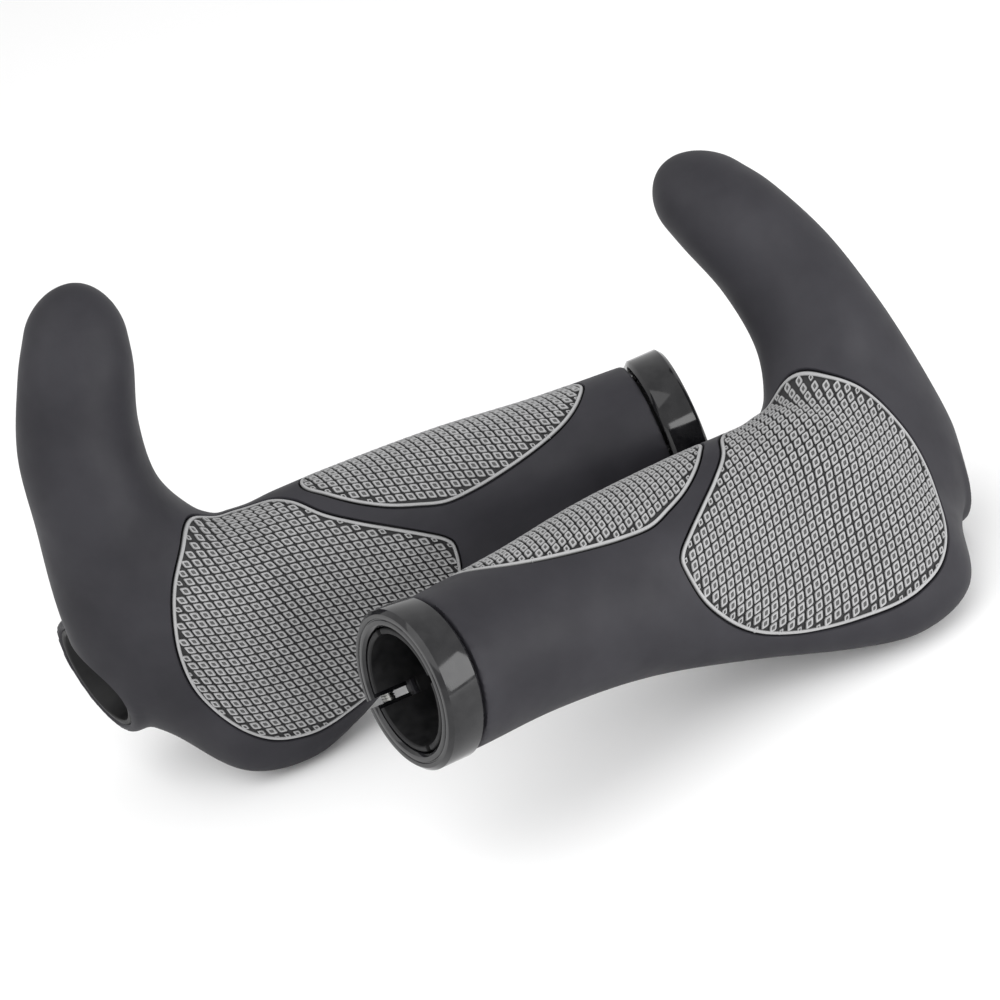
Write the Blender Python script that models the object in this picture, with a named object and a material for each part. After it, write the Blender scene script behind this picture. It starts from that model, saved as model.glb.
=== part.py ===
"""A pair of handlebar grips with built-in bar ends, right and left.

Each grip is built once in its own frame and the left one is its mirror image.
The grip's frame: +X runs along the handlebar from the clamp's face to the open
outer end, +Y points to the front, where the horn goes, and +Z to the palm.
"""
import math

import bmesh
import bpy
from mathutils import Euler, Matrix, Vector

MM = 0.001

# Handlebar fit
BAR_R = 11.1
SLEEVE_WALL = 1.2
SLEEVE_R = BAR_R + SLEEVE_WALL
GAP = 0.3

# Lengths along the bar
GRIP_LENGTH = 142.0
SLEEVE_FROM = 0.5
SLEEVE_TO = 141.7
RING_WIDTH = 8.0
RUBBER_FROM = 8.6
STUB_R = 14.5
STUB_FROM = 85.0
END_SLANT = 0.42

# Clamp ring and its pinch bolt, which lies along Y below the bar
RING_R = 16.0
RING_BORE_R = SLEEVE_R + GAP
RING_CHAMFER = 0.7
RING_LIP = 0.5
RING_SLIT = 1.5
SLEEVE_SLIT = 3.0
SLOT = 1.5
SLOT_DEPTH = 9.0
BOLT_X = 4.0
BOLT_Z = -14.1
BOLT_R = 1.34
BOLT_HOLE_R = 1.5
BOLT_TIP = -3.6
HOLE_END = -4.0
SEAT_Y = 5.4
SEAT_R = 3.2
WASHER_R = 2.9
WASHER_HOLE_R = 1.7
WASHER_T = 0.7
HEAD_R = 2.75
HEAD_H = 3.0
HEX_AF = 2.5
HEX_DEPTH = 1.6
FIT = 0.25

# Inlays, sunk into the rubber
INLAY_T = 1.3
POCKET_GROW = 0.3
PALM_LOW = 3.5
PALM_SLOPE = 0.107
PRISM_TOP = 45.0
FINGER_BACK = 6.0

# Horn core
CORE_SHRINK = 4.5
CORE_FIRST = 8
CORE_TIP = 5.0

# Mesh steps
RING_STEPS = 20
LENGTH_STEPS = 30
TIP_STEPS = 4
TIP_LENGTH = 10.5
TIP_TAPER = 0.15
ROUND = 36
SHARP_DEG = 35.0

# Sections of the rubber from the clamp to the horn's tip. Each has its middle
# (x, y, z), the angle that it has turned through, how far it reaches to the inside
# and the outside of the bend, above and below, and how far its outer edge lifts.
SECTIONS = (
    (RUBBER_FROM, 0, 0, 0, 15.5, 15.5, 15.3, 15.3, 0),
    (30, 0, 0, 0, 17.5, 15, 15, 15, 0),
    (52, 0, 0, 0, 20.5, 17, 15, 15, 1),
    (74, 0, 0, 0, 22, 22.5, 15.5, 15.5, 5),
    (91, 1, 0, 5, 21.5, 30, 17, 15.5, 12),
    (100, 2, 1, 11, 21, 33.5, 18.5, 15, 14),
    (108, 4, 2, 21, 21, 33.5, 18.5, 14.5, 12.5),
    (114, 7, 2, 36, 20.5, 29.5, 17.5, 14, 3.5),
    (119, 13, 1.5, 53, 19, 28, 16.5, 13.5, 2.5),
    (122, 23, 2, 73, 16, 21, 15, 13.5, 1),
    (123, 37, 2, 88, 12.5, 15.5, 14.5, 13.5, 0),
    (121, 52, 1, 98, 12, 14, 12, 12.5, 0),
    (116, 65, 0, 106, 11.5, 12.5, 10.5, 12, 0),
    (113, 72, -1.5, 113, 10.4, 10.9, 9.2, 10.8, 0),
)

# Outline of the palm inlay seen from the palm side, (x, y)
PALM_OUTLINE = (
    (59, 0), (60.5, -7), (65, -13), (71, -17.5), (78, -20.5), (85, -22.3),
    (92, -23.2), (99, -23.5), (105, -22.5), (111, -20), (116, -15.5), (120, -9.5),
    (122, -3), (121.7, 5), (119.7, 12.5), (116.5, 19.5), (112, 25), (107, 27.5),
    (100, 24), (92, 23), (87, 21.5), (82, 18), (76, 14), (70, 10.2), (64, 6.2), (60, 3),
)

# Half heights of the finger inlay seen from the front, (x, z)
FINGER_TOP = (
    (19.5, 1.5), (22, 5.5), (25.5, 8.2), (30, 10), (36, 11.4), (43, 12.4), (50, 13),
    (57, 13.2), (63, 12.6), (69, 11.6), (75, 9.6), (80, 6.4), (83.5, 2.5),
)

# Where each grip lies: its frame's origin in mm and its turn in degrees
RIGHT_PLACE = ((-32.6, -41.1, 42.6), (62.0, 11.3, 23.1))
LEFT_PLACE = ((49.5, 38.4, 35.3), (88.4, -2.7, 0.0))


def clear_scene():
    for thing in list(bpy.data.objects):
        bpy.data.objects.remove(thing, do_unlink=True)


def make_material(name, color, roughness, metallic=0.0):
    mat = bpy.data.materials.new(name)
    mat.use_nodes = True
    shader = mat.node_tree.nodes["Principled BSDF"]
    shader.inputs["Base Color"].default_value = (*color, 1.0)
    shader.inputs["Roughness"].default_value = roughness
    shader.inputs["Metallic"].default_value = metallic
    return mat


def mesh_object(name, verts, faces):
    """A new object from points in mm and faces, with its faces turned outwards."""
    mesh = bpy.data.meshes.new(name)
    mesh.from_pydata([[c * MM for c in v] for v in verts], [], faces)
    bm = bmesh.new()
    bm.from_mesh(mesh)
    bmesh.ops.recalc_face_normals(bm, faces=bm.faces)
    bm.to_mesh(mesh)
    bm.free()
    thing = bpy.data.objects.new(name, mesh)
    bpy.context.scene.collection.objects.link(thing)
    return thing


def loft(name, rings):
    """A closed solid through rings of points, with a flat cap at each end."""
    count = len(rings[0])
    verts = [p for ring in rings for p in ring]
    faces = []
    for i in range(len(rings) - 1):
        for j in range(count):
            k = (j + 1) % count
            faces.append((i * count + j, i * count + k, (i + 1) * count + k, (i + 1) * count + j))
    faces.append(tuple(range(count)))
    faces.append(tuple((len(rings) - 1) * count + j for j in range(count)))
    return mesh_object(name, verts, faces)


def revolve(name, profile, steps=ROUND):
    """A ring about the bar's axis from a closed (x, r) profile in mm."""
    count = len(profile)
    verts = []
    for i in range(steps):
        turn = 2 * math.pi * i / steps
        verts.extend((x, r * math.sin(turn), r * math.cos(turn)) for x, r in profile)
    faces = []
    for i in range(steps):
        here, there = i * count, (i + 1) % steps * count
        for j in range(count):
            k = (j + 1) % count
            faces.append((here + j, here + k, there + k, there + j))
    return mesh_object(name, verts, faces)


def rod(name, radius, start, end, steps=ROUND):
    """A cylinder of a radius in mm between two points."""
    a, b = Vector(start), Vector(end)
    turn = (b - a).to_track_quat("Z", "Y").to_matrix().to_4x4()
    middle = Matrix.Translation((a + b) / 2 * MM)
    bm = bmesh.new()
    bmesh.ops.create_cone(bm, cap_ends=True, segments=steps, radius1=radius * MM, radius2=radius * MM,
                          depth=(b - a).length * MM, matrix=middle @ turn)
    mesh = bpy.data.meshes.new(name)
    bm.to_mesh(mesh)
    bm.free()
    thing = bpy.data.objects.new(name, mesh)
    bpy.context.scene.collection.objects.link(thing)
    return thing


def end_tube(name, radius, start):
    """A solid cylinder on the bar up to the outer end, which slants towards the palm."""
    circle = [(radius * math.sin(2 * math.pi * k / ROUND), radius * math.cos(2 * math.pi * k / ROUND))
              for k in range(ROUND)]
    rings = [[(x - slant * z, y, z) for y, z in circle] for x, slant in ((start, 0.0), (GRIP_LENGTH, END_SLANT))]
    return loft(name, rings)


def block(name, low, high):
    """A box between two corners in mm."""
    size = Vector(high) - Vector(low)
    place = Matrix.Translation((Vector(high) + Vector(low)) / 2 * MM) @ Matrix.Diagonal((*(size * MM), 1))
    bm = bmesh.new()
    bmesh.ops.create_cube(bm, size=1, matrix=place)
    mesh = bpy.data.meshes.new(name)
    bm.to_mesh(mesh)
    bm.free()
    thing = bpy.data.objects.new(name, mesh)
    bpy.context.scene.collection.objects.link(thing)
    return thing


def apply_boolean(thing, cutter, operation="DIFFERENCE"):
    """Cut, join or cross a solid with another one, which is then removed."""
    mod = thing.modifiers.new(operation.title(), "BOOLEAN")
    mod.operation = operation
    mod.object = cutter
    graph = bpy.context.evaluated_depsgraph_get()
    mesh = bpy.data.meshes.new_from_object(thing.evaluated_get(graph))
    thing.modifiers.remove(mod)
    old = thing.data
    thing.data = mesh
    bpy.data.meshes.remove(old)
    mesh.name = thing.name
    bpy.data.objects.remove(cutter, do_unlink=True)
    return thing


def between(points, t):
    """The point at t on a smooth curve through rows of numbers."""
    i = min(int(t), len(points) - 2)
    u = t - i
    p1, p2 = points[i], points[i + 1]
    p0 = points[i - 1] if i > 0 else [2 * a - b for a, b in zip(p1, p2)]
    p3 = points[i + 2] if i + 2 < len(points) else [2 * b - a for a, b in zip(p1, p2)]
    return [0.5 * (2 * b + (c - a) * u + (2 * a - 5 * b + 4 * c - d) * u ** 2
                   + (3 * b - a - 3 * c + d) * u ** 3) for a, b, c, d in zip(p0, p1, p2, p3)]


def section_ring(row, shrink=0.0, scale=1.0):
    """One ring of points of the rubber's surface, moved in by shrink mm."""
    x, y, z, angle, inside, outside, top, bottom, lift = row
    turn = math.radians(angle)
    side = Vector((-math.sin(turn), math.cos(turn), 0))
    ring = []
    for k in range(RING_STEPS):
        phi = 2 * math.pi * k / RING_STEPS
        c, s = math.cos(phi), math.sin(phi)
        reach = (inside if c > 0 else outside) - shrink
        height = (top if s > 0 else bottom) - shrink
        point = Vector((x, y, z)) + side * (reach * c * scale)
        point.z += height * s * scale + lift * max(0.0, -c) ** 1.5
        ring.append(tuple(point))
    return ring


def skin(name, shrink=0.0, first=0.0, tip=TIP_LENGTH):
    """The rubber's outer surface as a solid, or one that lies shrink mm inside it."""
    last = len(SECTIONS) - 1
    steps = round(LENGTH_STEPS * (last - first) / last)
    rows = [between(SECTIONS, first + (last - first) * i / steps) for i in range(steps + 1)]
    rings = [section_ring(row, shrink) for row in rows]
    along = (Vector(rows[-1][:3]) - Vector(rows[-2][:3])).normalized()
    for i in range(1, TIP_STEPS + 1):
        turn = math.pi / 2 * i / (TIP_STEPS + 0.35)
        row = list(rows[-1])
        row[:3] = Vector(row[:3]) + along * (tip * math.sin(turn))
        rings.append(section_ring(row, shrink, math.cos(turn) * (1 - TIP_TAPER * math.sin(turn))))
    return loft(name, rings)


def grow_outline(outline, distance):
    """A closed outline moved outwards by a distance."""
    grown = []
    for i, (x, y) in enumerate(outline):
        ahead = outline[(i + 1) % len(outline)]
        behind = outline[i - 1]
        along = Vector((ahead[0] - behind[0], ahead[1] - behind[1])).normalized()
        grown.append((x + along.y * distance, y - along.x * distance))
    return grown


def finger_outline():
    """The leaf shape of the finger inlay, the same above and below."""
    return [(x, -z) for x, z in FINGER_TOP] + [(x, z) for x, z in reversed(FINGER_TOP)]


def palm_prism(name, grow):
    """The palm inlay's outline pushed up from a plane that rises to the wing's edge."""
    outline = grow_outline(PALM_OUTLINE, grow)
    low = [(x, y, PALM_LOW - grow - PALM_SLOPE * y) for x, y in outline]
    high = [(x, y, PRISM_TOP) for x, y in outline]
    return loft(name, [low, high])


def finger_prism(name, grow):
    """The finger inlay's outline pushed forwards."""
    outline = grow_outline(finger_outline(), grow)
    return loft(name, [[(x, y, z) for x, z in outline] for y in (FINGER_BACK - grow, PRISM_TOP)])


def make_inlay(name, outline_prism):
    """A textured pad: the shell between the rubber's skin and INLAY_T below it."""
    inlay = skin(name)
    apply_boolean(inlay, outline_prism(name + "_outline", 0), "INTERSECT")
    apply_boolean(inlay, skin(name + "_under", INLAY_T))
    return inlay


def make_rubber(name):
    """The overmoulded rubber: barrel, palm wing and horn, with its pockets cut out."""
    rubber = skin(name)
    apply_boolean(rubber, end_tube("stub", STUB_R, STUB_FROM), "UNION")
    for outline_prism in (palm_prism, finger_prism):
        pocket = outline_prism("pocket", POCKET_GROW)
        apply_boolean(pocket, skin("pocket_floor", INLAY_T + POCKET_GROW))
        apply_boolean(rubber, pocket)
    apply_boolean(rubber, rod("bore", SLEEVE_R + GAP, (-5, 0, 0), (GRIP_LENGTH + 5, 0, 0)))
    apply_boolean(rubber, skin("horn_room", CORE_SHRINK - GAP, CORE_FIRST - 0.1, CORE_TIP + GAP))
    return rubber


def make_horn_core(name):
    """The stiff spine inside the horn, which is bonded to the sleeve."""
    core = skin(name, CORE_SHRINK, CORE_FIRST, CORE_TIP)
    apply_boolean(core, rod("saddle", SLEEVE_R + GAP, (60, 0, 0), (180, 0, 0)))
    return core


def make_sleeve(name):
    """The thin sleeve on the bar, with slots that let the clamp close it."""
    sleeve = revolve(name, ((SLEEVE_FROM, BAR_R), (SLEEVE_FROM, SLEEVE_R), (SLEEVE_TO, SLEEVE_R), (SLEEVE_TO, BAR_R)))
    for vert in sleeve.data.vertices:
        if vert.co.x > GRIP_LENGTH / 2 * MM:
            vert.co.x -= END_SLANT * vert.co.z
    for turn, width in ((0, SLOT), (90, SLOT), (180, SLEEVE_SLIT), (270, SLOT)):
        cut = block("slot", (-1, -width / 2, 8), (SLEEVE_FROM + SLOT_DEPTH, width / 2, 15))
        cut.data.transform(Matrix.Rotation(math.radians(turn), 4, "X"))
        apply_boolean(sleeve, cut)
    return sleeve


def make_clamp_ring(name):
    """The split ring that pinches the sleeve on the bar."""
    c, lip = RING_CHAMFER, RING_LIP
    ring = revolve(name, ((0, RING_BORE_R + lip), (0, RING_R - c), (c, RING_R), (RING_WIDTH - c, RING_R),
                          (RING_WIDTH, RING_R - c), (RING_WIDTH, RING_BORE_R), (lip, RING_BORE_R)))
    apply_boolean(ring, block("slit", (-1, -RING_SLIT / 2, -20), (RING_WIDTH + 1, RING_SLIT / 2, -8)))
    apply_boolean(ring, rod("hole", BOLT_HOLE_R, (BOLT_X, HOLE_END, BOLT_Z), (BOLT_X, 20, BOLT_Z), 24))
    apply_boolean(ring, rod("seat", SEAT_R, (BOLT_X, SEAT_Y, BOLT_Z), (BOLT_X, 20, BOLT_Z), 32))
    return ring


def make_washer(name):
    start = SEAT_Y + FIT
    washer = rod(name, WASHER_R, (BOLT_X, start, BOLT_Z), (BOLT_X, start + WASHER_T, BOLT_Z), 32)
    hole = rod("hole", WASHER_HOLE_R, (BOLT_X, start - 1, BOLT_Z), (BOLT_X, start + 2, BOLT_Z), 24)
    return apply_boolean(washer, hole)


def make_bolt(name):
    """The pinch bolt, with a socket for a hexagon key."""
    seat = SEAT_Y + FIT + WASHER_T + FIT
    top = seat + HEAD_H
    bolt = rod(name, BOLT_R, (BOLT_X, BOLT_TIP, BOLT_Z), (BOLT_X, seat + 0.5, BOLT_Z), 24)
    apply_boolean(bolt, rod("head", HEAD_R, (BOLT_X, seat, BOLT_Z), (BOLT_X, top, BOLT_Z), 32), "UNION")
    hex_r = HEX_AF / math.sqrt(3)
    return apply_boolean(bolt, rod("hex", hex_r, (BOLT_X, top - HEX_DEPTH, BOLT_Z), (BOLT_X, top + 1, BOLT_Z), 6))


def make_place(name, place):
    origin, turn = place
    empty = bpy.data.objects.new(name, None)
    bpy.context.scene.collection.objects.link(empty)
    empty.location = Vector(origin) * MM
    empty.rotation_euler = Euler([math.radians(a) for a in turn])
    return empty


def put_origin(thing, point):
    """Move an object's origin to a point in mm, and leave its shape where it is."""
    offset = Vector(point) * MM
    thing.data.transform(Matrix.Translation(-offset))
    thing.location = offset


def mirror_mesh(mesh):
    mesh.transform(Matrix.Diagonal((-1, 1, 1, 1)))
    mesh.flip_normals()


def build_grip(side, place, looks, mirrored):
    """All the pieces of one grip, parented to the empty that places it."""
    empty = make_place(side + "_place", place)
    bolt_at = (BOLT_X, 0, BOLT_Z)
    pieces = (
        (make_rubber(side + "_rubber_body"), "rubber", (0, 0, 0)),
        (make_inlay(side + "_palm_inlay", palm_prism), "inlay", (0, 0, 0)),
        (make_inlay(side + "_finger_inlay", finger_prism), "inlay", (0, 0, 0)),
        (make_horn_core(side + "_horn_core"), "nylon", (0, 0, 0)),
        (make_sleeve(side + "_core_sleeve"), "nylon", (0, 0, 0)),
        (make_clamp_ring(side + "_clamp_ring"), "ring", (0, 0, 0)),
        (make_washer(side + "_lock_washer"), "steel", bolt_at),
        (make_bolt(side + "_clamp_bolt"), "steel", bolt_at),
    )
    for thing, look, origin in pieces:
        if mirrored:
            mirror_mesh(thing.data)
            origin = (-origin[0], origin[1], origin[2])
        put_origin(thing, origin)
        thing.data.shade_smooth()
        thing.data.set_sharp_from_angle(angle=math.radians(SHARP_DEG))
        thing.parent = empty
        thing.data.materials.clear()
        thing.data.materials.append(looks[look])


def main():
    clear_scene()
    looks = {
        "rubber": make_material("smooth_rubber", (0.062, 0.060, 0.068), 0.62),
        "inlay": make_material("textured_inlay", (0.215, 0.215, 0.218), 0.75),
        "nylon": make_material("filled_nylon", (0.02, 0.02, 0.022), 0.5),
        "ring": make_material("black_anodised_ring", (0.012, 0.012, 0.014), 0.16, 0.9),
        "steel": make_material("zinc_steel", (0.55, 0.55, 0.54), 0.35, 1.0),
    }
    build_grip("right", RIGHT_PLACE, looks, False)
    build_grip("left", LEFT_PLACE, looks, True)


main()
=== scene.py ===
import bisect
import math

import bmesh
import bpy
from mathutils import Euler, Matrix, Vector
from mathutils.bvhtree import BVHTree
from mathutils.geometry import delaunay_2d_cdt


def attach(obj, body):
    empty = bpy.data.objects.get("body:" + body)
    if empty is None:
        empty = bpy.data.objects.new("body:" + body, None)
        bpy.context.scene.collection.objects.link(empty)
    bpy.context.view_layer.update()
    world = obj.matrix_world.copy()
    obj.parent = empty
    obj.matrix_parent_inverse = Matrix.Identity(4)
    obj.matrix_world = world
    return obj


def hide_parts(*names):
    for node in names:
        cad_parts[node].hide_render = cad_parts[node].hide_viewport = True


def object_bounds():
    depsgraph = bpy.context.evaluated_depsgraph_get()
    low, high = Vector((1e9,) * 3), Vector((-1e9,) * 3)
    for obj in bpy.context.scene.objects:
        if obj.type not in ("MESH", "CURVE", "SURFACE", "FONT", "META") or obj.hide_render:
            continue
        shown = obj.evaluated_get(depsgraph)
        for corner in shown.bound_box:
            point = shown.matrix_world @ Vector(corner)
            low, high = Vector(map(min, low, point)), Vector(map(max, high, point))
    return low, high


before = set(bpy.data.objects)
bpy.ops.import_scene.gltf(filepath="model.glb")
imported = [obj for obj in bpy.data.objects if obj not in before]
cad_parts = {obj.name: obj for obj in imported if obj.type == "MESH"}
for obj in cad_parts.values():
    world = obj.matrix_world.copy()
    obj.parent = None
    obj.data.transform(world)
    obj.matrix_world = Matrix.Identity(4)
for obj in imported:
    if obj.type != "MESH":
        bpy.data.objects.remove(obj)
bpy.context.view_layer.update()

print("frame loaded")

mm = 0.001

# Each grip's own frame, in mm: +X along the bar from the clamp's face outwards,
# +Y to the front where the horn goes, +Z to the palm. The left grip is its mirror image.
gripFit = {
    "sleeveRadius": 12.3,
    "barRadius": 11.1,
    "sleeveFrom": 0.5,
    "sleeveTo": 141.7,
    "slotLength": 9.0,
    "slotWidth": 1.5,
    "slitWidth": 3.0,
    "endSlant": 0.42,
}
places = {
    "right": ((-32.6, -41.1, 42.6), (62.0, 11.3, 23.1)),
    "left": ((49.5, 38.4, 35.3), (88.4, -2.7, 0.0)),
}

# x, y, z, turned angle, reach inside the bend, reach outside it, above, below, lift of the outer edge
sections = [
    (8.6, 0, 0, 0, 15.5, 15.5, 15.3, 15.3, 0),
    (30, 0, 0, 0, 17.5, 15, 15, 15, 0),
    (52, 0, 0, 0, 20.5, 17, 15, 15, 1),
    (74, 0, 0, 0, 22, 22.5, 15.5, 15.5, 5),
    (91, 1, 0, 5, 21.5, 30, 17, 15.5, 12),
    (100, 2, 1, 11, 21, 33.5, 18.5, 15, 14),
    (108, 4, 2, 21, 21, 33.5, 18.5, 14.5, 12.5),
    (114, 7, 2, 36, 20.5, 29.5, 17.5, 14, 3.5),
    (119, 13, 1.5, 53, 19, 28, 16.5, 13.5, 2.5),
    (122, 23, 2, 73, 16, 21, 15, 13.5, 1),
    (123, 37, 2, 88, 12.5, 15.5, 14.5, 13.5, 0),
    (121, 52, 1, 98, 12, 14, 12, 12.5, 0),
    (116, 65, 0, 106, 11.5, 12.5, 10.5, 12, 0),
    (113, 72, -1.5, 113, 10.4, 10.9, 9.2, 10.8, 0),
]


def linkObject(name, mesh):
    thing = bpy.data.objects.new(name, mesh)
    bpy.context.scene.collection.objects.link(thing)
    return thing


def meshFrom(name, verts, faces):
    mesh = bpy.data.meshes.new(name)
    mesh.from_pydata([(x * mm, y * mm, z * mm) for x, y, z in verts], [], faces)
    bm = bmesh.new()
    bm.from_mesh(mesh)
    bmesh.ops.recalc_face_normals(bm, faces=bm.faces)
    bm.to_mesh(mesh)
    bm.free()
    return mesh


def dropObject(thing):
    mesh = thing.data
    bpy.data.objects.remove(thing, do_unlink=True)
    if mesh.users == 0:
        bpy.data.meshes.remove(mesh)


def bake(thing):
    # the modifiers' result as the object's own plain mesh
    graph = bpy.context.evaluated_depsgraph_get()
    mesh = bpy.data.meshes.new_from_object(thing.evaluated_get(graph))
    thing.modifiers.clear()
    old = thing.data
    thing.data = mesh
    bpy.data.meshes.remove(old)
    return thing


def cut(thing, cutter, operation="DIFFERENCE"):
    step = thing.modifiers.new("Cut", "BOOLEAN")
    step.operation = operation
    step.solver = "MANIFOLD"
    step.object = cutter
    bake(thing)
    dropObject(cutter)
    return thing


def bevelEdges(thing, width, segments=2):
    step = thing.modifiers.new("Edges", "BEVEL")
    step.width = width * mm
    step.segments = segments
    step.limit_method = "ANGLE"
    step.angle_limit = math.radians(35)
    return bake(thing)


def ringFaces(ringCount, count, closed=False):
    # quads between rings of equal count; closed joins the last ring to the first
    faces = []
    for i in range(ringCount if closed else ringCount - 1):
        for j in range(count):
            k = (j + 1) % count
            a, b = i * count, (i + 1) % ringCount * count
            faces.append((a + j, a + k, b + k, b + j))
    return faces


def loft(name, rings):
    count = len(rings[0])
    faces = ringFaces(len(rings), count)
    faces.append(tuple(range(count)))
    faces.append(tuple((len(rings) - 1) * count + j for j in range(count)))
    return linkObject(name, meshFrom(name, [p for ring in rings for p in ring], faces))


def revolve(name, profile, steps=144):
    # a ring about the bar's axis from a closed profile of (x, radius)
    rings = []
    for i in range(steps):
        turn = 2 * math.pi * i / steps
        rings.append([(x, r * math.sin(turn), r * math.cos(turn)) for x, r in profile])
    faces = ringFaces(steps, len(profile), closed=True)
    return linkObject(name, meshFrom(name, [p for ring in rings for p in ring], faces))


def circle(radius, count):
    # (cosine, sine) points at equal turns
    turns = [2 * math.pi * k / count for k in range(count)]
    return [(radius * math.cos(t), radius * math.sin(t)) for t in turns]


def rod(name, radius, start, end, steps=48):
    ends = (Vector(start), Vector(end))
    turn = (ends[1] - ends[0]).to_track_quat("Z", "Y").to_matrix()
    rings = []
    for middle in ends:
        rings.append([tuple(middle + turn @ Vector((a, b, 0))) for a, b in circle(radius, steps)])
    return loft(name, rings)


def block(name, low, high):
    rings = [[(x, low[1], low[2]), (x, high[1], low[2]), (x, high[1], high[2]), (x, low[1], high[2])]
             for x in (low[0], high[0])]
    return loft(name, rings)


def between(rows, t):
    # Catmull-Rom through rows of numbers
    i = min(int(t), len(rows) - 2)
    u = t - i
    p1, p2 = rows[i], rows[i + 1]
    p0 = rows[i - 1] if i > 0 else [2 * a - b for a, b in zip(p1, p2)]
    p3 = rows[i + 2] if i + 2 < len(rows) else [2 * b - a for a, b in zip(p1, p2)]
    return [0.5 * (2 * b + (c - a) * u + (2 * a - 5 * b + 4 * c - d) * u ** 2
                   + (3 * b - a - 3 * c + d) * u ** 3) for a, b, c, d in zip(p0, p1, p2, p3)]


# The rubber: a swept skin, blended with the tube round the open outer end
rubberShape = {
    "around": 80,
    "along": 170,
    "tipLength": 10.5,
    "tipTaper": 0.15,
    "tipSteps": 18,
    "tubeRadius": 14.5,
    "tubeFrom": 85.0,
    "tubeTo": 142.0,
    "tubeRound": 1.1,
    "tubeSides": 96,
    "boreSides": 128,
    "voxel": 0.72,
    "smoothing": 9,
    "boreRadius": 12.36,
    "boreFlare": 0.5,
    "coreInset": 4.2,
    "coreFirst": 7.9,
    "coreTip": 5.3,
    "coreAround": 28,
    "coreAlong": 60,
}


def sectionRing(row, count, inset=0.0, scale=1.0):
    x, y, z, angle, inside, outside, top, bottom, lift = row
    turn = math.radians(angle)
    side = Vector((-math.sin(turn), math.cos(turn), 0))
    ring = []
    for k in range(count):
        c, s = math.cos(2 * math.pi * k / count), math.sin(2 * math.pi * k / count)
        reach = (inside if c > 0 else outside) - inset
        height = (top if s > 0 else bottom) - inset
        point = Vector((x, y, z)) + side * (reach * c * scale)
        point.z += height * s * scale + lift * max(0.0, -c) ** 1.5
        ring.append(tuple(point))
    return ring


def skin(name, around, along, inset=0.0, first=0.0, tip=None):
    tip = rubberShape["tipLength"] if tip is None else tip
    last = len(sections) - 1
    steps = round(along * (last - first) / last)
    rows = [between(sections, first + (last - first) * i / steps) for i in range(steps + 1)]
    rings = [sectionRing(row, around, inset) for row in rows]
    heading = (Vector(rows[-1][:3]) - Vector(rows[-2][:3])).normalized()
    tipSteps = rubberShape["tipSteps"]
    for i in range(1, tipSteps + 1):
        turn = math.pi / 2 * i / (tipSteps + 0.35)
        row = list(rows[-1])
        row[:3] = Vector(row[:3]) + heading * (tip * math.sin(turn))
        taper = 1 - rubberShape["tipTaper"] * math.sin(turn)
        rings.append(sectionRing(row, around, inset, math.cos(turn) * taper))
    return loft(name, rings)


def slantEnd(rings, count):
    # lean the last rings so that the outer end faces a little to the palm
    lean = gripFit["endSlant"]
    return rings[:-count] + [[(x - lean * z, y, z) for x, y, z in ring] for ring in rings[-count:]]


def makeRubber():
    shape = rubberShape
    body = skin("bodySkin", shape["around"], shape["along"])
    r, e, t = shape["tubeRadius"], shape["tubeTo"], shape["tubeRound"]
    quarter = [math.pi / 2 * i / 5 for i in range(6)]
    corner = [(e - t + t * math.sin(a), r - t + t * math.cos(a)) for a in quarter]
    rings = []
    for x, radius in [(shape["tubeFrom"], r)] + corner:
        rings.append([(x, y, z) for z, y in circle(radius, shape["tubeSides"])])
    tube = loft("bodyTube", slantEnd(rings, len(corner)))
    bm = bmesh.new()
    bm.from_mesh(body.data)
    bm.from_mesh(tube.data)
    bm.to_mesh(body.data)
    bm.free()
    dropObject(tube)
    blend = body.modifiers.new("Blend", "REMESH")
    blend.mode = "VOXEL"
    blend.voxel_size = shape["voxel"] * mm
    ease = body.modifiers.new("Ease", "SMOOTH")
    ease.factor = 0.5
    ease.iterations = shape["smoothing"]
    return bake(body)


rubber = makeRubber()
print("rubber blended", len(rubber.data.polygons))
rubberTree = BVHTree.FromPolygons([v.co / mm for v in rubber.data.vertices],
                                  [p.vertices[:] for p in rubber.data.polygons])


# A patch is the skin unrolled about a line parallel to the bar: u runs along the bar,
# v is the length over the skin from the zero angle, measured from the palm to the front.
palmPatch = {"line": (0.0, -25.0), "zero": 0.0, "from": -48, "to": 56, "xFrom": 54, "xTo": 127}
fingerPatch = {"line": (0.0, 0.0), "zero": 90.0, "from": 24, "to": 156, "xFrom": 15, "xTo": 89}
unrollScale = 10.0   # flat metres to UV units


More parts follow.
